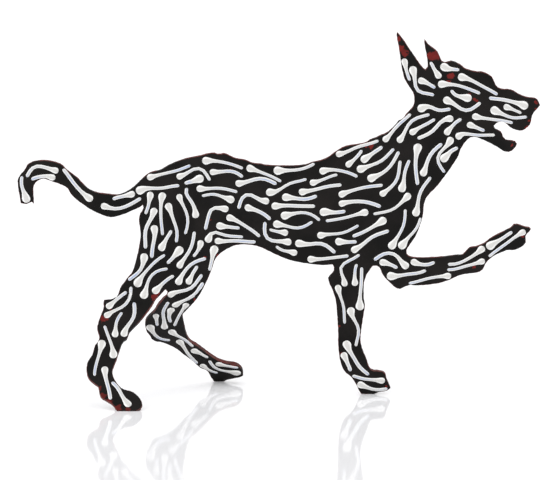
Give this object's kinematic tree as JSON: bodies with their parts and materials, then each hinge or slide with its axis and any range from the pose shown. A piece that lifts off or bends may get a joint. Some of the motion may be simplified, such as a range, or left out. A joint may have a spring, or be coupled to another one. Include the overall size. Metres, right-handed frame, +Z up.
{
  "type": "metal dog sculpture",
  "caption": "Flat dog cut from steel plate, walking with a foreleg raised, its hind legs bent apart to stand, black with white brush dabs.",
  "frame": {"origin": "on the floor under the middle of the bounding box of the standing dog", "axes": "+X towards the nose, +Y away from the viewer through the plate, +Z up"},
  "size_m": [0.5216, 0.1656, 0.371],
  "materials": {
    "painted_steel": "satin black enamel over red oxide primer, brushed on by hand, worn at the cut edges",
    "white_dabs": "thick white enamel dabs, raised and glossy"
  },
  "bodies": {
    "root": {"dog_plate": "painted_steel"}
  },
  "joints": []
}
